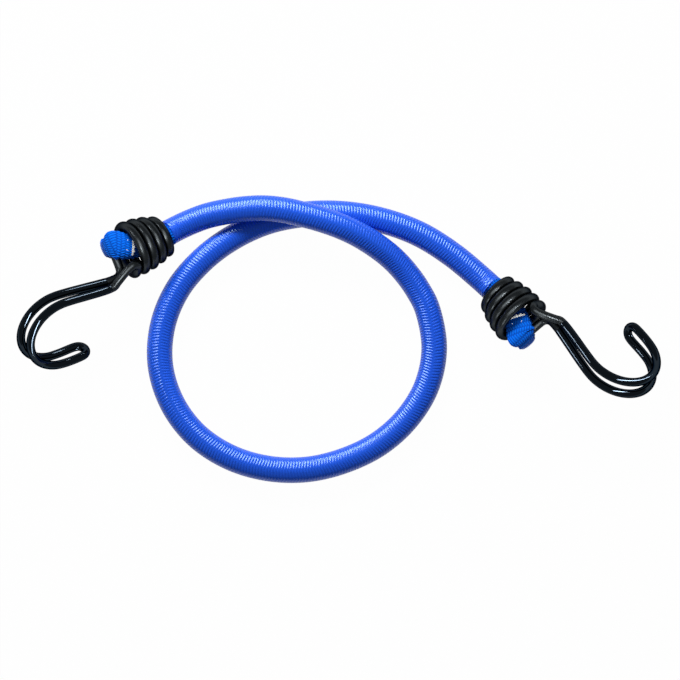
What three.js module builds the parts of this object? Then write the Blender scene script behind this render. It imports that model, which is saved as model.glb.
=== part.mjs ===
import * as THREE from 'three';

// Bungee cord with a wire hook at each end, lying in one loop that crosses over itself.
// Millimetres, +Z up, the floor at z = 0. The cord's lowest flat and both hooks rest on the floor.

// Driving sizes of the cord
const cordDiameter = 10;
const sheathWall = 0.85;
const strandsRoundCentre = 6;
const clearance = 0.3;
const gripSqueeze = 0.4;

// Driving sizes of the hook wire
const wireDiameter = 3.5;
const mouthBore = 15.9;
const turnGap = 0.6;
const coilDepth = 15;
const legSpacing = 31;
const rootGap = 0.5;
const bendGap = 2.1;
const tipGap = 2.9;

// Where each hook lies: middle of its coil's mouth in plan and the way it points
const mouthHeight = 13.7;
const coilTilt = 20;
const hookRoll = 44.95;
const ends = [
  { name: 'left', mouth: [-84.4, 23.2], heading: 201.8 },
  { name: 'right', mouth: [72.6, -4.8], heading: 311.1 },
];

// How the cord is divided, measured along it from the coil at each end
const throatDepth = 19.2;
const leftRunLength = 24;
const rightRunLength = 36;
const loopStep = 14;
const runStep = 6;

// Facets
const sheathSides = 12;
const strandSides = 5;
const wireSides = 8;
const stepsPerTurn = 13;

const cordRadius = cordDiameter / 2;
const wireRadius = wireDiameter / 2;
const gripRadius = cordRadius - gripSqueeze;
const boreRadius = cordRadius - sheathWall;
const strandRadius = (boreRadius - 2 * clearance) / 3;
const strandRing = 2 * strandRadius + clearance;
const degree = Math.PI / 180;

const sheathFinish = new THREE.MeshStandardMaterial({ color: '#2b54e0', roughness: 0.7, metalness: 0 });
const strandFinish = new THREE.MeshStandardMaterial({ color: '#ece8de', roughness: 0.8, metalness: 0 });
const wireFinish = new THREE.MeshStandardMaterial({ color: '#15171c', roughness: 0.3, metalness: 0.5 });

// Section of the cord: sheath outside, sheath bore and the strands in it, as rings of points

function polygon(sides, radius, centreX = 0, centreY = 0) {
  const corners = [];
  for (let side = 0; side < sides; side += 1) {
    const angle = (side + 0.5) * 2 * Math.PI / sides;
    corners.push(new THREE.Vector2(centreX + radius * Math.cos(angle), centreY + radius * Math.sin(angle)));
  }
  return corners;
}

const flatToCorner = 1 / Math.cos(Math.PI / sheathSides);
const sheathRing = polygon(sheathSides, cordRadius * flatToCorner);
const boreRing = polygon(sheathSides, boreRadius * flatToCorner);
const strandRings = [polygon(strandSides, strandRadius)];
for (let strand = 0; strand < strandsRoundCentre; strand += 1) {
  const angle = strand * 2 * Math.PI / strandsRoundCentre;
  const centreX = strandRing * Math.cos(angle);
  const centreY = strandRing * Math.sin(angle);
  strandRings.push(polygon(strandSides, strandRadius, centreX, centreY));
}

// Paths for extrusions, with every station and its section axes given

class StationPath extends THREE.Curve {
  constructor(points, tangents, normals) {
    super();
    this.points = points;
    this.tangents = tangents;
    this.normals = normals;
    this.binormals = tangents.map((tangent, index) => tangent.clone().cross(normals[index]));
  }

  getSpacedPoints() {
    return this.points;
  }

  computeFrenetFrames() {
    return { tangents: this.tangents, normals: this.normals, binormals: this.binormals };
  }
}

function tangentsThrough(points) {
  return points.map((point, index) => {
    const before = points[Math.max(index - 1, 0)];
    const after = points[Math.min(index + 1, points.length - 1)];
    const towards = after.clone().sub(point).normalize();
    const from = point.clone().sub(before).normalize();
    return towards.add(from).normalize();
  });
}

// Section axes that turn with the path and never roll about it
function rollFreeNormals(tangents, firstNormal) {
  const turn = new THREE.Quaternion();
  const normal = firstNormal.clone().addScaledVector(tangents[0], -firstNormal.dot(tangents[0])).normalize();
  const normals = [normal.clone()];
  for (let index = 1; index < tangents.length; index += 1) {
    turn.setFromUnitVectors(tangents[index - 1], tangents[index]);
    normal.applyQuaternion(turn).normalize();
    normals.push(normal.clone());
  }
  return normals;
}

function extrudeAlong(path, ring, hole) {
  const shape = new THREE.Shape(ring);
  if (hole) {
    shape.holes.push(new THREE.Path(hole));
  }
  const steps = path.points.length - 1;
  return new THREE.ExtrudeGeometry(shape, { steps, bevelEnabled: false, extrudePath: path });
}

// Route of the cord, from the left coil to the right coil

const endFrames = {};
for (const end of ends) {
  const frame = new THREE.Matrix4();
  const turn = new THREE.Euler(0, -coilTilt * degree, end.heading * degree, 'ZYX');
  frame.makeRotationFromEuler(turn);
  frame.setPosition(end.mouth[0], end.mouth[1], mouthHeight);
  endFrames[end.name] = frame;
}

function throatPoint(endName) {
  return new THREE.Vector3(-throatDepth, 0, 0).applyMatrix4(endFrames[endName]);
}

function throatLead(endName) {
  return new THREE.Vector3(-throatDepth - wireDiameter, 0, 0).applyMatrix4(endFrames[endName]);
}

// The strand that crosses above, with its heights, then the loop on the floor, then the strand below
const upperStrand = [
  [-59.9, 34.3, 6.1], [-53.2, 36.8, 7.6], [-45.6, 38.5, 10.2], [-37.8, 39.6, 12.9], [-30, 39.9, 14.8],
  [-22.2, 39.1, 15.7], [-14.6, 37.4, 15.9], [-7, 35.3, 15.7], [0.6, 32.6, 14.9], [7.8, 29.2, 13.2],
  [14.7, 24.9, 10.8], [21.1, 19.9, 8.2], [26.7, 13.9, 6.2], [31.4, 7.2, 5.2],
];
const onFloor = [
  [35.1, -0.2], [37.9, -16.2], [34.8, -31.5], [27, -44.2], [15.9, -54.2], [2.1, -61], [-13, -64.6],
  [-28.7, -64.2], [-43.7, -59.8], [-57.2, -51], [-66.9, -38.2], [-71.7, -22.9], [-70.8, -7.2],
  [-65, 7.1], [-55.2, 18.9], [-43.1, 28], [-29, 34.5], [-14, 37.5], [1.5, 37.7], [16.8, 35.1],
  [31.7, 29.7], [45.2, 21.3],
];
const routePoints = [
  throatPoint('left'),
  throatLead('left'),
  ...upperStrand.map(([x, y, z]) => new THREE.Vector3(x, y, z)),
  ...onFloor.map(([x, y]) => new THREE.Vector3(x, y, cordRadius)),
  throatLead('right'),
  throatPoint('right'),
];
const route = new THREE.CatmullRomCurve3(routePoints, false, 'centripetal');
route.arcLengthDivisions = 2000;
const routeLength = route.getLength();

// A stretch of the route with its section kept upright, so that a flat of the sheath lies down
function stretchPath(from, to, step) {
  const up = new THREE.Vector3(0, 0, 1);
  const steps = Math.round((to - from) / step);
  const points = [];
  const tangents = [];
  for (let index = 0; index <= steps; index += 1) {
    const place = (from + (to - from) * index / steps) / routeLength;
    const point = route.getPointAt(place);
    point.z = Math.max(point.z, cordRadius);
    points.push(point);
    tangents.push(route.getTangentAt(place));
  }
  const normals = tangents.map((tangent) => up.clone().cross(tangent).normalize());
  return new StationPath(points, tangents, normals);
}

function addStretch(parent, name, path) {
  const sheath = new THREE.Mesh(extrudeAlong(path, sheathRing, boreRing), sheathFinish.clone());
  sheath.name = `${name}_sheath`;
  parent.add(sheath);
  strandRings.forEach((ring, index) => {
    const strand = new THREE.Mesh(extrudeAlong(path, ring), strandFinish.clone());
    strand.name = `${name}_strand_${index + 1}`;
    parent.add(strand);
  });
}

// Wire of a hook, in the end's own frame: x outward along the coil, y across in plan, z up from the coil

const coilPitch = wireDiameter + turnGap;
const rootTwinSpacing = wireDiameter + rootGap;
const bendTwinSpacing = wireDiameter + bendGap;
const tipTwinSpacing = wireDiameter + tipGap;
const mouthRadius = mouthBore / 2 + wireRadius;
const throatRadius = gripRadius + clearance + wireRadius;
const topTurnAt = -2.2;
const firstAngle = -312;
const lastAngle = 1205;
const shankStart = 12.5;
const bendStart = 36.1;
const tipStart = 28.7;
const shankHeight = 1.4;
const shankSide = 10.2;
const shankLean = 0.08;
const bendSwell = 0.55;
const riseTuck = 1.6;
const riseLift = 2;
const crossbarAt = 6;
const crossbarHeight = -0.9;
const crossbarEnd = -7.6;
const cornerRadius = 3.6;

function coilPoint(angle) {
  const along = topTurnAt - coilPitch * angle / 360;
  const depth = THREE.MathUtils.clamp(-along / coilDepth, 0, 1);
  const radius = mouthRadius - (mouthRadius - throatRadius) * depth ** 2.2;
  return new THREE.Vector3(along, radius * Math.sin(angle * degree), radius * Math.cos(angle * degree));
}

// A place in the hook's own plane, which rolls about the coil's axis; offset is the way out of the plane
function hookPoint(along, side, across, offset) {
  const roll = hookRoll * degree;
  const y = side + across * Math.cos(roll) + offset * Math.sin(roll);
  const z = shankHeight - across * Math.sin(roll) + offset * Math.cos(roll);
  return new THREE.Vector3(along, y, z);
}

function shankSideAt(along) {
  return shankSide - shankLean * (along - shankStart);
}

// One side of the twin wire from the shank's root to the tip: turn is +1 for the upper wire, -1 for the lower,
// which swings a little wider round the bend
function twinPoints(turn) {
  const bendSteps = 10;
  const bendSide = shankSideAt(bendStart);
  const points = [hookPoint(shankStart, shankSide, 0, turn * rootTwinSpacing / 2)];
  for (let step = 0; step <= bendSteps; step += 1) {
    const angle = Math.PI * step / bendSteps;
    const swell = -turn * bendSwell * Math.sin(angle);
    const along = bendStart + (legSpacing / 2 + swell) * Math.sin(angle);
    const across = legSpacing / 2 - (legSpacing / 2 + swell) * Math.cos(angle);
    const spacing = THREE.MathUtils.lerp(bendTwinSpacing, tipTwinSpacing, step / bendSteps);
    points.push(hookPoint(along, bendSide, across, turn * spacing / 2));
  }
  return points;
}

function hairpinPoints() {
  const steps = 6;
  const points = [];
  for (let step = 0; step <= steps; step += 1) {
    const angle = Math.PI * step / steps;
    const along = tipStart - tipTwinSpacing / 2 * Math.sin(angle);
    points.push(hookPoint(along, shankSideAt(bendStart), legSpacing, tipTwinSpacing / 2 * Math.cos(angle)));
  }
  return points;
}

// From the coil's mouth to the shank: tucked in and lifted on its way, most of all near the coil
function risePoints(from, to) {
  const steps = 7;
  const points = [];
  for (let step = 1; step < steps; step += 1) {
    const share = step / steps;
    const bulge = Math.sin(Math.PI * share ** 0.6);
    const point = from.clone().lerp(to, share);
    point.y -= riseTuck * bulge;
    point.z += riseLift * bulge;
    points.push(point);
  }
  return points;
}

// From the lower shank wire round a square corner to the crossbar's cut end
function crossbarPoints() {
  const steps = 4;
  const root = hookPoint(shankStart, shankSide, 0, -rootTwinSpacing / 2);
  const points = [];
  for (let step = 0; step <= steps; step += 1) {
    const angle = Math.PI / 2 * step / steps;
    const along = crossbarAt + cornerRadius * (1 - Math.sin(angle));
    const side = root.y - cornerRadius * (1 - Math.cos(angle));
    points.push(new THREE.Vector3(along, side, THREE.MathUtils.lerp(root.z, crossbarHeight, step / steps)));
  }
  points.push(new THREE.Vector3(crossbarAt, crossbarEnd, crossbarHeight));
  return points;
}

function wirePoints() {
  const coil = [];
  const coilSteps = Math.round((lastAngle - firstAngle) / 360 * stepsPerTurn);
  for (let step = 0; step <= coilSteps; step += 1) {
    coil.push(coilPoint(THREE.MathUtils.lerp(lastAngle, firstAngle, step / coilSteps)));
  }
  const cutEndWay = coil[0].clone().sub(coil[1]).normalize();
  const cutEnd = coil[0].clone().addScaledVector(cutEndWay, wireDiameter);
  const upper = twinPoints(1);
  const lower = twinPoints(-1).reverse();
  const rise = risePoints(coil[coil.length - 1], upper[0]);
  return [cutEnd, ...coil, ...rise, ...upper, ...hairpinPoints(), ...lower, ...crossbarPoints()];
}

// Least distance between wire surfaces that lie apart along the wire
function leastWireGap(points) {
  const spacing = 0.4;
  const places = [];
  let travelled = 0;
  for (let index = 1; index < points.length; index += 1) {
    const length = points[index].distanceTo(points[index - 1]);
    const count = Math.ceil(length / spacing);
    for (let part = 0; part < count; part += 1) {
      const place = points[index - 1].clone().lerp(points[index], part / count);
      places.push({ place, at: travelled + length * part / count });
    }
    travelled += length;
  }
  let least = Infinity;
  for (let one = 0; one < places.length; one += 1) {
    for (let other = one + 1; other < places.length; other += 1) {
      if (places[other].at - places[one].at > 3 * wireDiameter) {
        least = Math.min(least, places[one].place.distanceTo(places[other].place));
      }
    }
  }
  return least - wireDiameter;
}

const wireStations = wirePoints();
console.log(`least gap of the hook wire to itself: ${leastWireGap(wireStations).toFixed(2)} mm`);

function hookGeometry() {
  const tangents = tangentsThrough(wireStations);
  const normals = rollFreeNormals(tangents, new THREE.Vector3(1, 0, 0));
  const path = new StationPath(wireStations, tangents, normals);
  return extrudeAlong(path, polygon(wireSides, wireRadius / Math.cos(Math.PI / wireSides)));
}

// Folded end of the cord: through the coil, round the crossbar and back to its cut tail at the mouth

const gripLead = 1.2;
const gripEnd = -15;
const foldSide = -0.25 * mouthBore;
const foldHalfWidth = 0.365 * mouthBore;
const foldHalfThickness = 1.7;
const noseHalfWidth = 0.19 * mouthBore;
const noseHalfThickness = 0.95;
const lowerHalfWidth = 0.27 * mouthBore;
const lowerSwell = 0.4;
const tailAt = -0.4;
const tailSide = -0.075 * mouthBore;
const tailHeight = 0.214 * mouthBore;
const tailHalfWidth = 0.3 * mouthBore;
const tailHalfThickness = 0.15 * mouthBore;
const strandSpare = 1.6;

// Stations as along, side, height, half width and half thickness; only the strands reach the last one
function bightStations() {
  const { lerp, smoothstep } = THREE.MathUtils;
  const mix = (from, to, share) => from.map((value, index) => lerp(value, to[index], share));
  const foldReach = wireRadius + clearance + foldHalfThickness;
  const stations = [
    [-throatDepth, 0, 0, cordRadius, cordRadius],
    [-throatDepth + gripLead, 0, 0, gripRadius, gripRadius],
  ];
  const flattenSteps = 5;
  for (let step = 0; step < flattenSteps; step += 1) {
    const share = step / flattenSteps;
    const height = (crossbarHeight - foldReach) * smoothstep(share, 0, 1);
    const halfWidth = lerp(gripRadius, lowerHalfWidth, share) + lowerSwell * Math.sin(Math.PI * share);
    const halfThickness = lerp(gripRadius, foldHalfThickness, share);
    stations.push([lerp(gripEnd, crossbarAt, share), foldSide * share ** 3, height, halfWidth, halfThickness]);
  }
  const wrapSteps = 8;
  for (let step = 0; step <= wrapSteps; step += 1) {
    const angle = Math.PI * (step / wrapSteps - 0.5);
    const outward = Math.cos(angle);
    const halfThickness = lerp(foldHalfThickness, noseHalfThickness, outward);
    const reach = wireRadius + clearance + halfThickness;
    const halfWidth = lerp(angle < 0 ? lowerHalfWidth : foldHalfWidth, noseHalfWidth, outward ** 2);
    const along = crossbarAt + reach * outward;
    stations.push([along, foldSide, crossbarHeight + reach * Math.sin(angle), halfWidth, halfThickness]);
  }
  const top = stations[stations.length - 1];
  const cut = [tailAt, tailSide, tailHeight, tailHalfWidth, tailHalfThickness];
  stations.push(mix(top, cut, 0.5), cut);
  stations.push(mix(top, cut, 1 + strandSpare / (crossbarAt - tailAt)));
  return stations;
}

function sectionRings(ring, frames) {
  return frames.map(({ centre, across, through, halfWidth, halfThickness }) => ring.map((corner) => {
    const point = centre.clone().addScaledVector(across, corner.x * halfWidth / cordRadius);
    return point.addScaledVector(through, corner.y * halfThickness / cordRadius);
  }));
}

// Closed surface through rings of points, with matching rings for a bore if there is one
function loft(rings, boreRings) {
  const sides = rings[0].length;
  const count = rings.length;
  const corners = [...rings.flat(), ...(boreRings || []).flat()];
  const triangles = [];
  const outer = (station, side) => station * sides + side % sides;
  const inner = (station, side) => count * sides + station * sides + side % sides;
  const quad = (a, b, c, d) => triangles.push(a, b, c, a, c, d);
  for (let station = 0; station < count - 1; station += 1) {
    for (let side = 0; side < sides; side += 1) {
      const next = station + 1;
      quad(outer(station, side), outer(station, side + 1), outer(next, side + 1), outer(next, side));
      if (boreRings) {
        quad(inner(station, side + 1), inner(station, side), inner(next, side), inner(next, side + 1));
      }
    }
  }
  const last = count - 1;
  for (let side = 0; side < sides; side += 1) {
    if (boreRings) {
      quad(outer(0, side + 1), outer(0, side), inner(0, side), inner(0, side + 1));
      quad(outer(last, side), outer(last, side + 1), inner(last, side + 1), inner(last, side));
    } else if (side > 0 && side < sides - 1) {
      triangles.push(outer(0, 0), outer(0, side + 1), outer(0, side));
      triangles.push(outer(last, 0), outer(last, side), outer(last, side + 1));
    }
  }
  const geometry = new THREE.BufferGeometry().setFromPoints(corners);
  geometry.setIndex(triangles);
  geometry.computeVertexNormals();
  return geometry;
}

function addBight(parent, name) {
  const stations = bightStations();
  const points = stations.map(([along, side, height]) => new THREE.Vector3(along, side, height));
  const tangents = tangentsThrough(points);
  tangents[0].set(1, 0, 0);
  const sideways = new THREE.Vector3(0, 1, 0);
  const frames = stations.map((station, index) => {
    const tangent = tangents[index];
    const across = sideways.clone().addScaledVector(tangent, -tangent.y).normalize();
    const through = tangent.clone().cross(across);
    return { centre: points[index], across, through, halfWidth: station[3], halfThickness: station[4] };
  });
  const covered = frames.slice(0, -1);
  const sheathSurface = loft(sectionRings(sheathRing, covered), sectionRings(boreRing, covered));
  const sheath = new THREE.Mesh(sheathSurface, sheathFinish.clone());
  sheath.name = `${name}_sheath`;
  parent.add(sheath);
  strandRings.forEach((ring, index) => {
    const strand = new THREE.Mesh(loft(sectionRings(ring, frames)), strandFinish.clone());
    strand.name = `${name}_strand_${index + 1}`;
    parent.add(strand);
  });
}

// The whole cord

const bungee = new THREE.Group();
bungee.name = 'bungee_cord';

const leftJoin = leftRunLength;
const rightJoin = routeLength - rightRunLength;
addStretch(bungee, 'left_run', stretchPath(clearance, leftJoin, runStep));
addStretch(bungee, 'loop', stretchPath(leftJoin + clearance, rightJoin, loopStep));
addStretch(bungee, 'right_run', stretchPath(rightJoin + clearance, routeLength - clearance, runStep));

for (const end of ends) {
  const group = new THREE.Group();
  group.name = `${end.name}_end`;
  endFrames[end.name].decompose(group.position, group.quaternion, group.scale);
  const hook = new THREE.Mesh(hookGeometry(), wireFinish.clone());
  hook.name = `${end.name}_hook`;
  group.add(hook);
  addBight(group, `${end.name}_bight`);
  bungee.add(group);
}

export default bungee;
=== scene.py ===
import math

import bmesh
import bpy
import numpy as np
from mathutils import Matrix, Vector


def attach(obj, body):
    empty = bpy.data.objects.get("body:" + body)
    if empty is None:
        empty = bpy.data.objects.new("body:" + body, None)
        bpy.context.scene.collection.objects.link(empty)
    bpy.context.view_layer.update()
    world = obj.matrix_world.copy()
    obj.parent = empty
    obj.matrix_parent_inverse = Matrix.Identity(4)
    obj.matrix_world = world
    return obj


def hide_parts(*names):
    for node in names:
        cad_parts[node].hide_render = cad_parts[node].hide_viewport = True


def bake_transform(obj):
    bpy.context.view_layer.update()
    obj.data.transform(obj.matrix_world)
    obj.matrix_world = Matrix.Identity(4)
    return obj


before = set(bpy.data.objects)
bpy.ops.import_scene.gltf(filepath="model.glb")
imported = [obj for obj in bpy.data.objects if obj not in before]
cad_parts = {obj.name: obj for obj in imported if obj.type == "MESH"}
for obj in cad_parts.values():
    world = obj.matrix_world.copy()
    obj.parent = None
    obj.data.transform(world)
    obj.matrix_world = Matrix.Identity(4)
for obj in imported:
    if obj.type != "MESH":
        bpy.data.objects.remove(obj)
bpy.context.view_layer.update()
scene = bpy.context.scene
scene.view_settings.view_transform = "Standard"
mm = 0.001
print("frame loaded:", len(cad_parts), "solids")

# Camera, straight above the loop

cameraSettings = {
    "lens": 1000.0,  # long, so that every part is seen from straight above
    "sensor": 36.0,
    "viewWidth": 272.0 * mm,
    "middle": (0.2 * mm, -12.8 * mm),
    "trueHeight": 10.0 * mm,  # the height above the floor at which the view is that wide
    "nearest": 0.1,
    "farthest": 20.0,
}


def addCamera(settings):
    data = bpy.data.cameras.new("topCamera")
    data.lens = settings["lens"]
    data.sensor_width = settings["sensor"]
    data.clip_start = settings["nearest"]
    data.clip_end = settings["farthest"]
    camera = bpy.data.objects.new("topCamera", data)
    distance = settings["viewWidth"] * settings["lens"] / settings["sensor"]
    camera.location = (*settings["middle"], settings["trueHeight"] + distance)
    scene.collection.objects.link(camera)
    scene.camera = camera


addCamera(cameraSettings)

# Node trees, written as expressions


class Value:  # a socket of a node tree that takes part in sums
    def __init__(self, tree, socket=None):
        self.tree = tree
        self.socket = socket

    def node(self, kind, settings=None, sockets=None, output=0):
        made = self.tree.nodes.new(kind)
        for name, setting in (settings or {}).items():
            setattr(made, name, setting)
        for name, value in (sockets or {}).items():
            if isinstance(value, Value):
                self.tree.links.new(value.socket, made.inputs[name])
            else:
                made.inputs[name].default_value = value
        return Value(self.tree, made.outputs[output] if len(made.outputs) else None)

    def also(self, output):  # another output of the same node
        return Value(self.tree, self.socket.node.outputs[output])

    def math(self, operation, *values):
        return self.node("ShaderNodeMath", {"operation": operation}, dict(enumerate(values)))

    def __add__(self, other):
        return self.math("ADD", self, other)

    def __radd__(self, other):
        return self.math("ADD", other, self)

    def __sub__(self, other):
        return self.math("SUBTRACT", self, other)

    def __rsub__(self, other):
        return self.math("SUBTRACT", other, self)

    def __mul__(self, other):
        return self.math("MULTIPLY", self, other)

    def __rmul__(self, other):
        return self.math("MULTIPLY", other, self)

    def __pow__(self, other):
        return self.math("POWER", self, other)

    def __abs__(self):
        return self.math("ABSOLUTE", self)


def mixColour(factor, first, second):
    return factor.node("ShaderNodeMix", {"data_type": "RGBA"}, {0: factor, 6: first, 7: second}, 2)


def newGeometryTree(name, inputs):
    tree = bpy.data.node_groups.new(name, "GeometryNodeTree")
    tree.interface.new_socket(name="Geometry", in_out="INPUT", socket_type="NodeSocketGeometry")
    tree.interface.new_socket(name="Geometry", in_out="OUTPUT", socket_type="NodeSocketGeometry")
    for label, kind in inputs.items():
        tree.interface.new_socket(name=label, in_out="INPUT", socket_type="NodeSocket" + kind)
    return Value(tree).node("NodeGroupInput")


def endGeometryTree(geometry, given):
    real = geometry.node("GeometryNodeRealizeInstances", {}, {"Geometry": geometry})
    smooth = real.node("GeometryNodeSetShadeSmooth", {}, {"Geometry": real})
    coating = {"Geometry": smooth, "Material": given.also("Material")}
    finished = smooth.node("GeometryNodeSetMaterial", {}, coating)
    finished.node("NodeGroupOutput", {}, {"Geometry": finished})


def pointValue(given, name):  # a number that the piece's points carry
    return given.node("GeometryNodeInputNamedAttribute", {"data_type": "FLOAT"}, {"Name": name})


def applyTree(piece, given, sizes):  # the tree's result becomes the piece's own plain mesh
    tree = given.tree
    modifier = piece.modifiers.new(tree.name, "NODES")
    modifier.node_group = tree
    for item in tree.interface.items_tree:
        if item.in_out == "INPUT" and item.name in sizes:
            modifier[item.identifier] = sizes[item.name]
    graph = bpy.context.evaluated_depsgraph_get()
    made = bpy.data.meshes.new_from_object(piece.evaluated_get(graph))
    piece.modifiers.clear()
    piece.data = made
    piece.data.name = piece.name


# Routes and lofts


def smoothRoute(points, perSpan=40):  # centripetal curve through rows of numbers, places first
    rows = np.array(points, float)
    before = 2 * rows[0] - rows[1]
    after = 2 * rows[-1] - rows[-2]
    rows = np.vstack([before, rows, after])
    gaps = np.linalg.norm(np.diff(rows[:, :3], axis=0), axis=1) ** 0.5
    steps = np.arange(perSpan)[:, None] / perSpan
    spans = []
    for index in range(1, len(rows) - 2):
        a, b, c, d = rows[index - 1:index + 3]
        near, own, far = gaps[index - 1:index + 2]
        leave = ((b - a) / near - (c - a) / (near + own) + (c - b) / own) * own
        arrive = ((c - b) / own - (d - b) / (own + far) + (d - c) / far) * own
        square = -3 * b + 3 * c - 2 * leave - arrive
        cube = 2 * b - 2 * c + leave + arrive
        spans.append(b + leave * steps + square * steps ** 2 + cube * steps ** 3)
    spans.append(rows[-2:-1])
    return np.vstack(spans)


def lengthsAlong(route):
    return np.concatenate([[0], np.cumsum(np.linalg.norm(np.diff(route[:, :3], axis=0), axis=1))])


def stationsAt(route, places):  # the route's rows at these distances from its start
    along = lengthsAlong(route)
    return np.stack([np.interp(places, along, column) for column in route.T], axis=1)


def evenPlaces(start, end, step):
    return np.linspace(start, end, max(int(round((end - start) / step)), 1) + 1)


def tangentsOf(places):
    ways = np.gradient(places, axis=0)
    return ways / np.linalg.norm(ways, axis=1)[:, None]


def ringsOf(centres, across, through, halfWidths, halfDepths, sides):
    turns = (np.arange(sides) + 0.5) * 2 * math.pi / sides
    wide = np.cos(turns)[None, :, None] * across[:, None, :] * halfWidths[:, None, None]
    deep = np.sin(turns)[None, :, None] * through[:, None, :] * halfDepths[:, None, None]
    return centres[:, None, :] + wide + deep


def loftMesh(name, rings):  # an open skin through the rings, with the way out on the outside
    count, sides, _ = rings.shape
    faces = []
    for ring in range(count - 1):
        for side in range(sides):
            first = ring * sides + side
            second = ring * sides + (side + 1) % sides
            faces.append((first, second, second + sides, first + sides))
    mesh = bpy.data.meshes.new(name)
    mesh.from_pydata(rings.reshape(-1, 3).tolist(), [], faces)
    piece = bpy.data.objects.new(name, mesh)
    scene.collection.objects.link(piece)
    return piece


def setPointValues(piece, name, values):
    attribute = piece.data.attributes.new(name, "FLOAT", "POINT")
    attribute.data.foreach_set("value", np.asarray(values, np.float32).ravel())


def closeEnds(piece):  # flat ends, with a crisp rim
    work = bmesh.new()
    work.from_mesh(piece.data)
    rims = [edge for edge in work.edges if edge.is_boundary]
    for edge in rims:
        edge.smooth = False
    made = bmesh.ops.holes_fill(work, edges=rims, sides=0)["faces"]
    for face in made:
        face.smooth = False
    work.to_mesh(piece.data)
    work.free()


# Materials


def startMaterial(name):
    material = bpy.data.materials.new(name)
    material.use_nodes = True
    material.node_tree.nodes.clear()
    return material, Value(material.node_tree)


def noise(desk, scale, detail):  # fixed to the piece, in its own coordinates
    place = desk.node("ShaderNodeTexCoord", {}, {}, "Object")
    return desk.node("ShaderNodeTexNoise", {}, {"Vector": place, "Scale": scale, "Detail": detail})


def bumpOf(height, strength, distance):
    return height.node("ShaderNodeBump", {}, {"Height": height, "Strength": strength, "Distance": distance})


def endMaterial(desk, sockets):
    shader = desk.node("ShaderNodeBsdfPrincipled", {}, sockets)
    desk.node("ShaderNodeOutputMaterial", {}, {"Surface": shader})


# paintedGrooveShade is a darker colour painted into the grooves between the stitches, as painted shade;
# crest is the yarn's own colour
braidFinishes = {
    "cordBraid": {
        "paintedGrooveShade": (0.011, 0.084, 0.66, 1.0),
        "crest": (0.016, 0.105, 0.75, 1.0),
        "roughness": 0.28,
        "crestAt": 0.75,
        "shine": 0.25,
    },
    "openBraid": {
        "paintedGrooveShade": (0.003, 0.026, 0.28, 1.0),
        "crest": (0.004, 0.178, 0.93, 1.0),
        "roughness": 0.45,
        "crestAt": 0.8,
        "shine": 0.12,
    },
}
yarn = {
    "patchScale": 140.0,
    "patchFloor": 0.86,  # the shade where a patch is darkest
    "patchRange": 0.22,
    "fibreScale": 5200.0,
    "fibreRoughness": 0.12,
    "fibreBump": 0.06,
    "fibreHeight": 0.06 * mm,
    "tint": (0.60, 0.85, 1.0, 1.0),
}


def makeBraidMaterial(name, look):
    material, desk = startMaterial(name)
    relief = desk.node("ShaderNodeAttribute", {"attribute_name": "relief"}, {}, "Fac")
    patches = noise(desk, yarn["patchScale"], 2.0)
    fibres = noise(desk, yarn["fibreScale"], 1.0)
    # the colour darkens towards the bottom of each groove as painted shade, and is mixed with the yarn's
    # own random patches of tone
    height = desk.math("MINIMUM", relief * (1 / look["crestAt"]), 1.0)
    shade = height * (yarn["patchFloor"] + patches * yarn["patchRange"])
    endMaterial(desk, {
        "Base Color": mixColour(shade, look["paintedGrooveShade"], look["crest"]),
        "Roughness": look["roughness"] + (fibres - 0.5) * yarn["fibreRoughness"],
        "Normal": bumpOf(fibres, yarn["fibreBump"], yarn["fibreHeight"]),
        "Specular IOR Level": look["shine"],
        "Specular Tint": yarn["tint"],
    })
    return material


cordBraid = makeBraidMaterial("cordBraid", braidFinishes["cordBraid"])
openBraid = makeBraidMaterial("openBraid", braidFinishes["openBraid"])

coreFinish = {
    "pale": (0.97, 0.97, 0.96, 1.0),
    "dull": (0.86, 0.85, 0.83, 1.0),
    "roughness": 0.7,
    "chalkScale": 900.0,
    "chalkRoughness": 0.15,
    "chalkBump": 0.2,
    "chalkHeight": 0.1 * mm,
}


def makeCoreMaterial(look):
    material, desk = startMaterial("coreThread")
    chalk = noise(desk, look["chalkScale"], 3.0)
    endMaterial(desk, {
        "Base Color": mixColour(chalk, look["dull"], look["pale"]),
        "Roughness": look["roughness"] + chalk * look["chalkRoughness"],
        "Normal": bumpOf(chalk, look["chalkBump"], look["chalkHeight"]),
    })
    return material


coreThread = makeCoreMaterial(coreFinish)

coilFinish = {
    "black": (0.034, 0.040, 0.044, 1.0),
    "worn": (0.075, 0.080, 0.082, 1.0),
    "roughness": 0.32,
    "edge": (0.25, 0.25, 0.27, 1.0),
    "cloudScale": 260.0,
    "cloudWear": 0.5,
    "cloudRoughness": 0.2,
    "grainScale": 2200.0,
    "grainBump": 0.1,
    "grainHeight": 0.05 * mm,
}


def makeCoilMaterial(look):
    material, desk = startMaterial("coilLacquer")
    cloud = noise(desk, look["cloudScale"], 3.0)
    grain = noise(desk, look["grainScale"], 2.0)
    endMaterial(desk, {
        "Base Color": mixColour(cloud * look["cloudWear"], look["black"], look["worn"]),
        "Roughness": look["roughness"] + (cloud - 0.5) * look["cloudRoughness"],
        "Normal": bumpOf(grain, look["grainBump"], look["grainHeight"]),
        "Metallic": 1.0,
        "Specular Tint": look["edge"],
    })
    return material


dipFinish = {
    "navy": (0.023, 0.031, 0.040, 1.0),
    "black": (0.019, 0.025, 0.032, 1.0),
    "roughness": 0.05,
    "edge": (0.1, 0.12, 0.15, 1.0),
    "cloudScale": 90.0,
    "cloudRoughness": 0.04,
}


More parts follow.
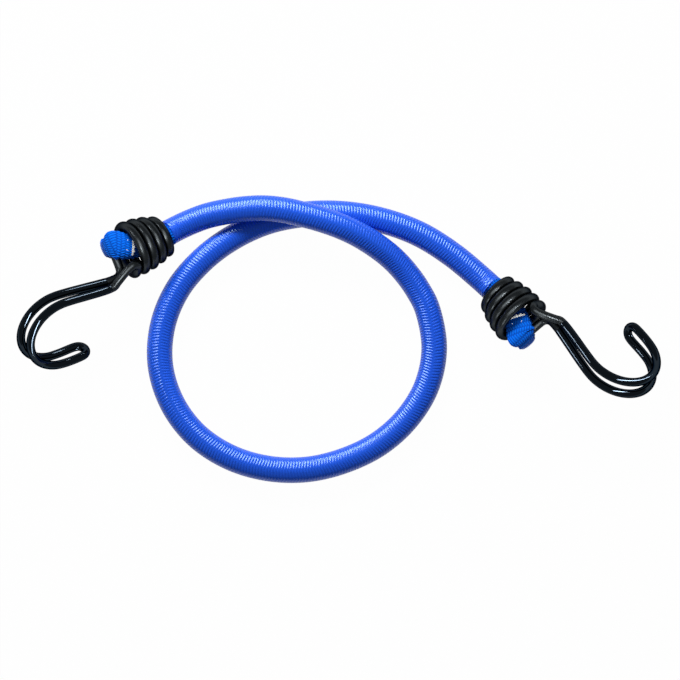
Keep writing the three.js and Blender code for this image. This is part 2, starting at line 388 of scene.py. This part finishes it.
def makeDipMaterial(look):
    material, desk = startMaterial("hookDip")
    cloud = noise(desk, look["cloudScale"], 2.0)
    endMaterial(desk, {
        "Base Color": mixColour(cloud, look["black"], look["navy"]),
        "Roughness": look["roughness"] + cloud * look["cloudRoughness"],
        "Metallic": 1.0,
        "Specular Tint": look["edge"],
    })
    return material


coilLacquer = makeCoilMaterial(coilFinish)
hookDip = makeDipMaterial(dipFinish)
print("materials made")

# Where the two ends lie, and the cord's route between them

endSettings = {
    "left": {"mouth": (-84.4, 23.2), "heading": 201.8},
    "right": {"mouth": (72.6, -4.8), "heading": 311.1},
}
mouthHeight = 13.7
coilTilt = 20.0
wireDiameter = 3.5
throatDepth = 19.2


def endMatrix(name):
    settings = endSettings[name]
    place = Matrix.Translation((*settings["mouth"], mouthHeight))
    turn = Matrix.Rotation(math.radians(settings["heading"]), 4, "Z")
    return place @ turn @ Matrix.Rotation(math.radians(-coilTilt), 4, "Y")


def inEnd(name, rows):  # points of an end's own frame, in millimetres, put in their place in metres
    matrix = np.array(endMatrix(name))
    return (np.asarray(rows, float) @ matrix[:3, :3].T + matrix[:3, 3]) * mm


cordSettings = {
    "diameter": 10.0 * mm,
    "crestRadius": 5.33 * mm,  # to the tops of the stitches
    "sides": 64,
    "columns": 8,  # columns of braid stitches round the cord
    "pitch": 1.17 * mm,  # from one stitch to the next along a column
    "ringsPerPitch": 7,
    "slant": 0.6,  # how far a stitch runs along the cord over its own width, in pitches
    "depth": 0.25 * mm,
    "flatness": 0.22 * mm,  # how far the middle of each column lies in from a round cord
    "leftRun": 24.0 * mm,
    "rightRun": 36.0 * mm,
    "intoCoil": 0.9,  # how far each end reaches past the throat towards its coil, in millimetres
    "besideCoil": -0.9,  # how far beside the coil's axis the cord runs behind the coil, in millimetres
    "endShare": 0.5,  # the share of that at the cord's end
    "throatShare": 0.6,  # and at the throat
    "rightSpot": (37.9, -16.2),  # where the loop is cut into lengths, in millimetres
    "leftSpot": (-71.7, -22.9),
    "lyingBelow": 6.0 * mm,  # the middle of the cord is lower than this where it lies on the floor
    "pathStep": 8.0 * mm,
}
upperStrand = [
    (-59.9, 34.3, 6.1), (-53.2, 36.8, 7.6), (-45.6, 38.5, 10.2), (-37.8, 39.6, 12.9),
    (-30.0, 39.9, 14.8), (-22.2, 39.1, 15.7), (-14.6, 37.4, 15.9), (-7.0, 35.3, 15.7),
    (0.6, 32.6, 14.9), (7.8, 29.2, 13.2), (14.7, 24.9, 10.8), (21.1, 19.9, 8.2),
    (26.7, 13.9, 6.2), (31.4, 7.2, 5.2),
]
onFloor = [
    (35.1, -0.2), (37.9, -16.2), (34.8, -31.5), (27.0, -44.2), (15.9, -54.2), (2.1, -61.0),
    (-13.0, -64.6), (-28.7, -64.2), (-43.7, -59.8), (-57.2, -51.0), (-66.9, -38.2),
    (-71.7, -22.9), (-70.8, -7.2), (-65.0, 7.1), (-55.2, 18.9), (-43.1, 28.0), (-29.0, 34.5),
    (-14.0, 37.5), (1.5, 37.7), (16.8, 35.1), (31.7, 29.7), (45.2, 21.3),
]


def throatPoints(side, settings):  # from the cord's end out of the throat
    beside = settings["besideCoil"]
    return inEnd(side, [
        (settings["intoCoil"] - throatDepth, beside * settings["endShare"], 0),
        (-throatDepth, beside * settings["throatShare"], 0),
        (-throatDepth - wireDiameter, beside, 0),
    ])


def cordRoute(settings):
    radius = settings["diameter"] / 2
    lying = [(x * mm, y * mm, radius) for x, y in onFloor]
    points = [
        *throatPoints("left", settings),
        *(np.array(upperStrand) * mm),
        *lying,
        *throatPoints("right", settings)[::-1],
    ]
    route = smoothRoute(points)
    route[:, 2] = np.maximum(route[:, 2], radius)
    return route


route = cordRoute(cordSettings)
routeLength = lengthsAlong(route)[-1]
print("cord route:", round(routeLength / mm, 1), "mm")


stitchTaper = 0.8  # the share of its height that a stitch loses at the sides of its column


def makeReliefTree():  # stitches in columns, each leaning the other way from its neighbour's
    given = newGeometryTree("braidRelief", {
        "Slant": "Float", "Depth": "Float", "Flatness": "Float", "Material": "Material",
    })
    stack = pointValue(given, "stack")
    column = pointValue(given, "column")
    odd = given.math("FLOORED_MODULO", given.math("FLOOR", column), 2.0)
    sideways = given.math("FRACT", column) - 0.5
    lean = (1 - 2 * odd) * sideways * given.also("Slant")
    phase = given.math("FRACT", stack + lean + 0.5 * odd)
    ridge = 1 - (2 * abs(phase - 0.5)) ** 2.0
    taper = 1 - stitchTaper * (2 * abs(sideways)) ** 4.0
    relief = ridge * taper
    hollow = (1 - (2 * abs(sideways)) ** 2.0) * given.also("Flatness")
    kept = given.node(
        "GeometryNodeStoreNamedAttribute",
        {"data_type": "FLOAT", "domain": "POINT"},
        {"Geometry": given, "Name": "relief", "Value": relief},
    )
    normal = given.node("GeometryNodeInputNormal")
    inwards = given.node(
        "ShaderNodeVectorMath",
        {"operation": "SCALE"},
        {0: normal, "Scale": (relief - 1) * given.also("Depth") - hollow},
    )
    carved = given.node("GeometryNodeSetPosition", {}, {"Geometry": kept, "Offset": inwards})
    endGeometryTree(carved, given)
    return given


reliefTree = makeReliefTree()


def cordPiece(name, start, end, settings):
    step = settings["pitch"] / settings["ringsPerPitch"]
    places = evenPlaces(start, end, step)
    whole = evenPlaces(0, routeLength, step)
    ways = tangentsOf(stationsAt(route, whole))
    tangents = np.stack([np.interp(places, whole, column) for column in ways.T], axis=1)
    centres = stationsAt(route, places)
    across = np.cross((0, 0, 1), tangents)
    across = across / np.linalg.norm(across, axis=1)[:, None]
    through = np.cross(tangents, across)
    radii = np.full(len(places), settings["crestRadius"])
    sides = settings["sides"]
    piece = loftMesh(name, ringsOf(centres, across, through, radii, radii, sides))
    around = (np.arange(sides) + 0.5) / sides * settings["columns"]
    setPointValues(piece, "stack", np.repeat(places / settings["pitch"], sides))
    setPointValues(piece, "column", np.tile(around, len(places)))
    applyTree(piece, reliefTree, {
        "Slant": settings["slant"], "Depth": settings["depth"], "Flatness": settings["flatness"],
        "Material": cordBraid,
    })
    closeEnds(piece)
    path = stationsAt(route, evenPlaces(start, end, settings["pathStep"]))
    return piece, [tuple(point) for point in path]


def placeNear(spot):  # how far along the cord its lying part passes this spot
    distance = np.hypot(route[:, 0] - spot[0] * mm, route[:, 1] - spot[1] * mm)
    distance[route[:, 2] >= cordSettings["lyingBelow"]] = np.inf
    return lengthsAlong(route)[np.argmin(distance)]


def withNodes(start):
    return [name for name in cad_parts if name.startswith(start)]


rightSide = placeNear(cordSettings["rightSpot"])
leftSide = placeNear(cordSettings["leftSpot"])

overStrand, overPath = cordPiece("cordOverStrand", 0, rightSide, cordSettings)
lowerLoop, lowerPath = cordPiece("cordLowerLoop", rightSide, leftSide, cordSettings)
underStrand, underPath = cordPiece("cordUnderStrand", leftSide, routeLength, cordSettings)

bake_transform(overStrand)
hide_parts(*withNodes("left_run"))
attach(lowerLoop, "loop")
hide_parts(*withNodes("loop"))
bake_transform(underStrand)
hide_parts(*withNodes("right_run"))

print("cord made in three lengths")

# Hook wires

hookSettings = {
    "sides": 32,
    "step": 0.4,
    "perSpan": 300,  # fine enough that the reflections run smoothly along the wire
    "mouthBore": 15.9,
    "coilPitch": 4.1,
    "coilDepth": 15.0,
    "coilFlare": 2.2,
    "topTurnAt": -2.2,
    "firstAngle": -312.0,
    "lastAngle": 1205.0,
    "stepsPerTurn": 13,
    "gripRadius": 4.6,
    "clearance": 0.3,
    "legSpacing": 31.0,
    "rootTwinSpacing": 4.0,
    "bendTwinSpacing": 5.6,
    "tipTwinSpacing": 6.4,
    "bendSwell": 0.55,
    "bendPoints": 11,
    "hairpinPoints": 7,
    "roll": 44.95,
    "shankStart": 12.5,
    "bendStart": 36.1,
    "tipStart": 28.7,
    "shankHeight": 1.4,
    "shankSide": 10.2,
    "shankLean": 0.08,
    "riseTuck": 1.6,
    "riseLift": 2.0,
    "riseSteps": 7,
    "riseEarly": 0.6,  # below 1, the rise bulges nearer to the coil
    "crossbarAt": 6.0,
    "crossbarHeight": -0.9,
    "crossbarEnd": -7.6,
    "cornerRadius": 3.6,
    "cornerPoints": 5,
    "coilThickening": 1.11,  # lacquer gathers between the turns, so they look closed up
    "thickUntil": 1.6,  # the coil's own turns lie before this, measured outward from the mouth
    "plainFrom": 4.6,
    "dipFrom": 13.2,  # where the glossy dip of the hook begins along its shank
    "dipLip": 1.2,
    "underDip": 0.96,
    "overDip": 1.015,
}
wireRadius = wireDiameter / 2


def coilPoint(angle):
    s = hookSettings
    along = s["topTurnAt"] - s["coilPitch"] * angle / 360
    depth = min(max(-along / s["coilDepth"], 0), 1)
    mouthRadius = s["mouthBore"] / 2 + wireRadius
    throatRadius = s["gripRadius"] + s["clearance"] + wireRadius
    radius = mouthRadius - (mouthRadius - throatRadius) * depth ** s["coilFlare"]
    turn = math.radians(angle)
    return np.array((along, radius * math.sin(turn), radius * math.cos(turn)))


def hookPoint(along, side, across, offset):  # in the hook's own plane, which rolls about the coil's axis
    roll = math.radians(hookSettings["roll"])
    y = side + across * math.cos(roll) + offset * math.sin(roll)
    z = hookSettings["shankHeight"] - across * math.sin(roll) + offset * math.cos(roll)
    return np.array((along, y, z))


def shankSideAt(along):
    return hookSettings["shankSide"] - hookSettings["shankLean"] * (along - hookSettings["shankStart"])


def twinPoints(turn):  # +1 for the upper wire of the pair, -1 for the lower one
    s = hookSettings
    half = s["legSpacing"] / 2
    points = [hookPoint(s["shankStart"], s["shankSide"], 0, turn * s["rootTwinSpacing"] / 2)]
    for share in np.linspace(0, 1, s["bendPoints"]):
        angle = math.pi * share
        swell = -turn * s["bendSwell"] * math.sin(angle)
        along = s["bendStart"] + (half + swell) * math.sin(angle)
        across = half - (half + swell) * math.cos(angle)
        spacing = s["bendTwinSpacing"] + (s["tipTwinSpacing"] - s["bendTwinSpacing"]) * share
        points.append(hookPoint(along, shankSideAt(s["bendStart"]), across, turn * spacing / 2))
    return points


def hairpinPoints():
    s = hookSettings
    points = []
    for angle in np.linspace(0, math.pi, s["hairpinPoints"]):
        along = s["tipStart"] - s["tipTwinSpacing"] / 2 * math.sin(angle)
        offset = s["tipTwinSpacing"] / 2 * math.cos(angle)
        points.append(hookPoint(along, shankSideAt(s["bendStart"]), s["legSpacing"], offset))
    return points


def risePoints(start, end):  # from the coil's mouth to the shank, tucked in and lifted on its way
    s = hookSettings
    points = []
    for share in np.arange(1, s["riseSteps"]) / s["riseSteps"]:
        bulge = math.sin(math.pi * share ** s["riseEarly"])
        lift = np.array((0.0, -s["riseTuck"], s["riseLift"])) * bulge
        points.append(start + (end - start) * share + lift)
    return points


def crossbarPoints():
    s = hookSettings
    root = hookPoint(s["shankStart"], s["shankSide"], 0, -s["rootTwinSpacing"] / 2)
    points = []
    for share in np.linspace(0, 1, s["cornerPoints"]):
        angle = math.pi / 2 * share
        along = s["crossbarAt"] + s["cornerRadius"] * (1 - math.sin(angle))
        side = root[1] - s["cornerRadius"] * (1 - math.cos(angle))
        points.append(np.array((along, side, root[2] + (s["crossbarHeight"] - root[2]) * share)))
    points.append(np.array((s["crossbarAt"], s["crossbarEnd"], s["crossbarHeight"])))
    return points


def wireStations():
    s = hookSettings
    turns = (s["lastAngle"] - s["firstAngle"]) / 360
    angles = np.linspace(s["lastAngle"], s["firstAngle"], round(turns * s["stepsPerTurn"]) + 1)
    coil = [coilPoint(angle) for angle in angles]
    leave = coil[0] - coil[1]
    cutEnd = coil[0] + leave / np.linalg.norm(leave) * wireDiameter
    upper = twinPoints(1)
    lower = twinPoints(-1)[::-1]
    climb = risePoints(coil[-1], upper[0])
    return [cutEnd, *coil, *climb, *upper, *hairpinPoints(), *lower, *crossbarPoints()]


def makeWireTree():  # a round wire along a line of points, with its own thickness at each
    given = newGeometryTree("roundWire", {"Radius": "Float", "Sides": "Int", "Material": "Material"})
    line = given.node("GeometryNodeMeshToCurve", {}, {"Mesh": given})
    thick = pointValue(given, "thick")
    section = given.node(
        "GeometryNodeCurvePrimitiveCircle",
        {},
        {"Resolution": given.also("Sides"), "Radius": given.also("Radius")},
    )
    wire = given.node(
        "GeometryNodeCurveToMesh",
        {},
        {"Curve": line, "Profile Curve": section, "Scale": thick, "Fill Caps": True},
    )
    endGeometryTree(wire, given)
    return given


wireTree = makeWireTree()


def wirePiece(name, side, own, thick, material):
    mesh = bpy.data.meshes.new(name)
    mesh.from_pydata(inEnd(side, own).tolist(), [(i, i + 1) for i in range(len(own) - 1)], [])
    piece = bpy.data.objects.new(name, mesh)
    scene.collection.objects.link(piece)
    setPointValues(piece, "thick", thick)
    applyTree(piece, wireTree, {
        "Radius": wireRadius * mm, "Sides": hookSettings["sides"], "Material": material,
    })
    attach(piece, side + "_hook")
    return piece


def hookWire(side):  # the bare wire from its cut end in the coil to its cut end on the crossbar
    s = hookSettings
    path = smoothRoute(wireStations(), s["perSpan"])
    own = stationsAt(path, evenPlaces(0, lengthsAlong(path)[-1], s["step"]))
    outward = [s["thickUntil"], s["plainFrom"], s["dipFrom"], s["dipFrom"] + s["dipLip"]]
    thick = np.interp(own[:, 0], outward, [s["coilThickening"], 1, 1, s["underDip"]])
    piece = wirePiece(side + "HookWire", side, own, thick, coilLacquer)
    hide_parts(side + "_hook")
    return piece


def hookCoat(side):  # the glossy coat that the hook was dipped in, up to a lip on the shank
    s = hookSettings
    path = smoothRoute(wireStations(), s["perSpan"])
    along = lengthsAlong(path)
    dipped = along[path[:, 0] > s["dipFrom"]]
    places = evenPlaces(dipped[0], dipped[-1], s["step"])
    own = stationsAt(path, places)
    fromLip = np.minimum(places - places[0], places[-1] - places)
    thick = np.interp(fromLip, [0, s["dipLip"]], [s["underDip"], s["overDip"]])
    return wirePiece(side + "HookCoat", side, own, thick, hookDip)


wires = {}
coats = {}
for side in endSettings:
    wires[side] = hookWire(side)
    coats[side] = hookCoat(side)
print("hook wires made")

# Folded ends of the cord, round each hook's crossbar

foldSettings = {
    "sides": 112,
    "step": 0.3,
    "scalesRound": 23,
    "scaleLength": 1.8,
    "slant": 0.5,
    "depth": 0.40 * mm,
    "wall": 0.85,
    "cordRadius": 5.0,
    "gripLead": 1.2,
    "gripEnd": -15.0,
    "side": -4.0,
    "halfWidth": 5.8,
    "halfThickness": 1.7,
    "noseHalfWidth": 3.0,
    "noseHalfThickness": 0.95,
    "lowerHalfWidth": 4.3,
    "lowerSwell": 0.4,
    "lowerPoints": 5,
    "nosePoints": 9,
    "cut": (-0.4, -1.2, 3.4, 4.8, 2.4),  # the cut end: along, side, height, half width, half thickness
    "threadSpare": 0.8,  # how far the threads stand out of the cut end
}


def mixed(first, second, share):
    return tuple(one + (other - one) * share for one, other in zip(first, second))


def foldStations():  # from the throat round the crossbar to the cut end, and on to where the threads end
    f = foldSettings
    s = hookSettings
    grip = s["gripRadius"]
    lowest = s["crossbarHeight"] - wireRadius - s["clearance"] - f["halfThickness"]
    rows = [
        (-throatDepth, 0, 0, f["cordRadius"], f["cordRadius"]),
        (-throatDepth + f["gripLead"], 0, 0, grip, grip),
    ]
    for share in np.arange(f["lowerPoints"]) / f["lowerPoints"]:
        ease = share * share * (3 - 2 * share)
        swell = f["lowerSwell"] * math.sin(math.pi * share)
        along = f["gripEnd"] + (s["crossbarAt"] - f["gripEnd"]) * share
        halfWidth = grip + (f["lowerHalfWidth"] - grip) * share + swell
        halfThickness = grip + (f["halfThickness"] - grip) * share
        rows.append((along, f["side"] * share ** 3, lowest * ease, halfWidth, halfThickness))
    for angle in np.linspace(-math.pi / 2, math.pi / 2, f["nosePoints"]):
        outward = math.cos(angle)
        thick = f["halfThickness"] + (f["noseHalfThickness"] - f["halfThickness"]) * outward
        reach = wireRadius + s["clearance"] + thick
        base = f["lowerHalfWidth"] if angle < 0 else f["halfWidth"]
        wide = base + (f["noseHalfWidth"] - base) * outward ** 2
        height = s["crossbarHeight"] + reach * math.sin(angle)
        rows.append((s["crossbarAt"] + reach * outward, f["side"], height, wide, thick))
    top = rows[-1]
    beyond = 1 + f["threadSpare"] / (top[0] - f["cut"][0])
    return rows + [mixed(top, f["cut"], 0.5), f["cut"], mixed(top, f["cut"], beyond)]


def foldFrames(rows):
    tangents = tangentsOf(rows[:, :3])
    sideways = np.array((0.0, 1.0, 0.0))
    across = sideways - tangents * (tangents @ sideways)[:, None]
    across = across / np.linalg.norm(across, axis=1)[:, None]
    return across, np.cross(tangents, across)


def foldedEnd(side):
    f = foldSettings
    path = smoothRoute(foldStations()[:-1])
    places = evenPlaces(0, lengthsAlong(path)[-1], f["step"])
    rows = stationsAt(path, places)
    across, through = foldFrames(rows)
    rings = ringsOf(rows[:, :3], across, through, rows[:, 3], rows[:, 4], f["sides"])
    piece = loftMesh(side + "FoldedEnd", inEnd(side, rings))
    steps = np.linalg.norm(np.roll(rings, -1, axis=1) - rings, axis=2)
    wayRound = np.cumsum(steps, axis=1) / steps.sum(axis=1)[:, None]
    setPointValues(piece, "stack", wayRound * f["scalesRound"])
    setPointValues(piece, "column", np.repeat(places / f["scaleLength"], f["sides"]))
    applyTree(piece, reliefTree, {
        "Slant": f["slant"], "Depth": f["depth"], "Flatness": 0.0, "Material": openBraid,
    })
    closeEnds(piece)
    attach(piece, side + "_hook")
    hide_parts(side + "_bight_sheath")


threadSettings = {
    "rings": 3,
    "sides": 10,
    "length": 3.2 * mm,
    "uneven": 0.5 * mm,
    "seed": 4,
    "lookBack": 0.2,  # the step over which the fold's way at its end is taken
    "rimRoom": 0.4,  # in spacings of the threads, as is the next
    "radius": 0.48,
}


def makeThreadTree():  # short threads standing on points, each cut to its own length
    given = newGeometryTree("threadBundle", {
        "Radius": "Float", "Length": "Float", "Uneven": "Float", "Sides": "Int", "Seed": "Int",
        "Turn": "Vector", "Squeeze": "Vector", "Material": "Material",
    })
    thread = given.node(
        "GeometryNodeMeshCylinder",
        {"fill_type": "TRIANGLE_FAN"},
        {
            "Vertices": given.also("Sides"),
            "Radius": given.also("Radius"),
            "Depth": given.also("Length"),
        },
    )
    lengthen = given.node(
        "FunctionNodeRandomValue",
        {"data_type": "FLOAT"},
        {2: 0.0, 3: given.also("Uneven"), "Seed": given.also("Seed")},
        1,
    )
    way = given.node("GeometryNodeInputNamedAttribute", {"data_type": "FLOAT_VECTOR"}, {"Name": "way"})
    push = given.node("ShaderNodeVectorMath", {"operation": "SCALE"}, {0: way, "Scale": lengthen})
    moved = given.node("GeometryNodeSetPosition", {}, {"Geometry": given, "Offset": push})
    bundle = given.node(
        "GeometryNodeInstanceOnPoints",
        {},
        {
            "Points": moved,
            "Instance": thread,
            "Rotation": given.also("Turn"),
            "Scale": given.also("Squeeze"),
        },
    )
    endGeometryTree(bundle, given)
    return given


threadTree = makeThreadTree()


def coreThreads(side):
    t = threadSettings
    f = foldSettings
    path = smoothRoute(foldStations())
    end = lengthsAlong(path)[-1]
    rows = stationsAt(path, [end - 2 * t["lookBack"], end - t["lookBack"], end])
    across, through = foldFrames(rows)
    centre, wide, deep = rows[-1][:3], rows[-1][3], rows[-1][4]
    tangent = np.cross(across[-1], through[-1])
    bore = 1 - f["wall"] / f["cordRadius"]
    spacing = bore / (t["rings"] + 0.5)
    spots = []
    for row in range(-t["rings"], t["rings"] + 1):
        for place in range(-t["rings"], t["rings"] + 1):
            x = (place + row / 2) * spacing
            y = row * spacing * math.sqrt(3) / 2
            if math.hypot(x, y) < bore - spacing * t["rimRoom"]:
                spots.append(centre + across[-1] * x * wide + through[-1] * y * deep)
    back = tangent * t["length"] / mm / 2
    name = side + "CoreThreads"
    mesh = bpy.data.meshes.new(name)
    mesh.from_pydata(inEnd(side, np.array(spots) - back).tolist(), [], [])
    piece = bpy.data.objects.new(name, mesh)
    scene.collection.objects.link(piece)
    turn = np.array(endMatrix(side))[:3, :3]
    axes = Matrix((turn @ np.stack([across[-1], through[-1], tangent], axis=1)).tolist())
    attribute = mesh.attributes.new("way", "FLOAT_VECTOR", "POINT")
    attribute.data.foreach_set("vector", np.tile(turn @ tangent, len(spots)).astype(np.float32))
    applyTree(piece, threadTree, {
        "Radius": spacing * t["radius"] * mm,
        "Length": t["length"],
        "Uneven": t["uneven"],
        "Sides": t["sides"],
        "Seed": t["seed"],
        "Turn": axes.to_euler(),
        "Squeeze": (wide, deep, 1.0),
        "Material": coreThread,
    })
    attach(piece, side + "_hook")
    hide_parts(*withNodes(side + "_bight_strand"))
    return piece


threads = {}
for side in endSettings:
    foldedEnd(side)
    threads[side] = coreThreads(side)
print("folded ends made")

# Floor and light

floorSettings = {
    "radius": 10.0,
    "sides": 96,
    "drop": 0.2 * mm,
    "white": (0.6, 0.6, 0.6, 1.0),
    "glow": 0.985,
}


def addFloor(settings):
    mesh = bpy.data.meshes.new("floor")
    work = bmesh.new()
    sides = settings["sides"]
    bmesh.ops.create_circle(work, cap_ends=True, segments=sides, radius=settings["radius"])
    work.to_mesh(mesh)
    work.free()
    mesh.transform(Matrix.Translation((0, 0, -settings["drop"])))
    floor = bpy.data.objects.new("floor", mesh)
    scene.collection.objects.link(floor)
    material, desk = startMaterial("floorWhite")
    rays = desk.node("ShaderNodeLightPath", {}, {}, "Is Camera Ray")
    looking = rays + rays.also("Is Glossy Ray") + rays.also("Is Transmission Ray")
    seen = desk.math("MINIMUM", looking, 1.0)
    matt = desk.node("ShaderNodeBsdfDiffuse", {}, {"Color": settings["white"]})
    glow = desk.node("ShaderNodeEmission", {}, {"Strength": 1.0})
    both = desk.node("ShaderNodeMixShader", {}, {0: seen * settings["glow"], 1: matt, 2: glow})
    desk.node("ShaderNodeOutputMaterial", {}, {"Surface": both})
    mesh.materials.append(material)


keySoft = {"place": (-0.20, 0.85, 0.70), "size": (0.8, 0.20), "watts": 15.5, "glossy": False}
cordShine = {  # only its gloss on the cord shows
    "place": (-0.40, 0.77, 0.50), "size": (1.3, 0.50), "watts": 64.0, "diffuse": False,
}
wireLampSettings = {  # azimuth from the way the hook points, aim outward from the mouth in millimetres
    "CoilSoft": {
        "azimuth": 0.0, "height": 88.0, "away": 0.8, "aim": -8.0, "size": (0.6, 0.6), "watts": 3.6,
    },
    "CoilSpark": {
        "azimuth": 38.2, "height": 61.5, "away": 0.7, "aim": -8.0, "size": (0.05, 0.05), "watts": 2.0,
    },
    "RiseSoft": {
        "azimuth": -52.0, "height": 33.0, "away": 0.7, "aim": 8.0, "size": (0.12, 0.12), "watts": 0.8,
    },
}
coatLampSettings = {
    "ShankStrip": {
        "azimuth": 227.5, "height": 25.0, "away": 0.6, "aim": 26.0, "size": (0.12, 0.06), "watts": 0.9,
    },
    "BendStrip": {
        "azimuth": 80.0, "height": 36.0, "away": 0.75, "aim": 38.0, "size": (0.05, 1.5), "watts": 20.0,
        "roll": 26.0,
    },
}
roomLight = {"colour": (0.9, 0.95, 1.0, 1.0), "strength": 0.25}


def addLamp(name, settings):
    data = bpy.data.lights.new(name, "AREA")
    data.shape = "RECTANGLE"
    data.size, data.size_y = settings["size"]
    data.energy = settings["watts"]
    lamp = bpy.data.objects.new(name, data)
    place = Vector(settings["place"])
    lamp.location = place
    way = Vector(settings.get("towards", (0, 0, 0))) - place
    roll = Matrix.Rotation(math.radians(settings.get("roll", 0)), 3, "Z")
    lamp.rotation_euler = (way.to_track_quat("-Z", "Y").to_matrix() @ roll).to_euler()
    lamp.visible_camera = False
    lamp.visible_glossy = settings.get("glossy", True)
    lamp.visible_diffuse = settings.get("diffuse", True)
    if "lit" in settings:  # a lamp for these pieces alone
        lit = bpy.data.collections.new(name + "Lit")
        for piece in settings["lit"]:
            lit.objects.link(piece)
        lamp.light_linking.receiver_collection = lit
    scene.collection.objects.link(lamp)


def addHookLamp(name, side, settings, lit):
    heading = math.radians(endSettings[side]["heading"])
    outward = Vector((math.cos(heading), math.sin(heading), 0))
    target = Vector((*endSettings[side]["mouth"], mouthHeight)) * mm + outward * settings["aim"] * mm
    turn = heading + math.radians(settings["azimuth"])
    height = math.radians(settings["height"])
    level = math.cos(height)
    way = Vector((math.cos(turn) * level, math.sin(turn) * level, math.sin(height)))
    place = target + way * settings["away"]
    addLamp(side + name, {**settings, "place": place, "towards": target, "lit": lit})


def addRoomLight(settings):
    world = bpy.data.worlds.new("room")
    world.use_nodes = True
    world.node_tree.nodes.clear()
    desk = Value(world.node_tree)
    glow = {"Color": settings["colour"], "Strength": settings["strength"]}
    sky = desk.node("ShaderNodeBackground", {}, glow)
    desk.node("ShaderNodeOutputWorld", {}, {"Surface": sky})
    scene.world = world


addFloor(floorSettings)
addLamp("keySoft", keySoft)
addLamp("cordShine", {**cordShine, "lit": [overStrand, lowerLoop, underStrand]})
for side in endSettings:
    for name, settings in wireLampSettings.items():
        addHookLamp(name, side, settings, [wires[side], threads[side]])
    for name, settings in coatLampSettings.items():
        addHookLamp(name, side, settings, [coats[side]])
addRoomLight(roomLight)
print("floor and lamps set")
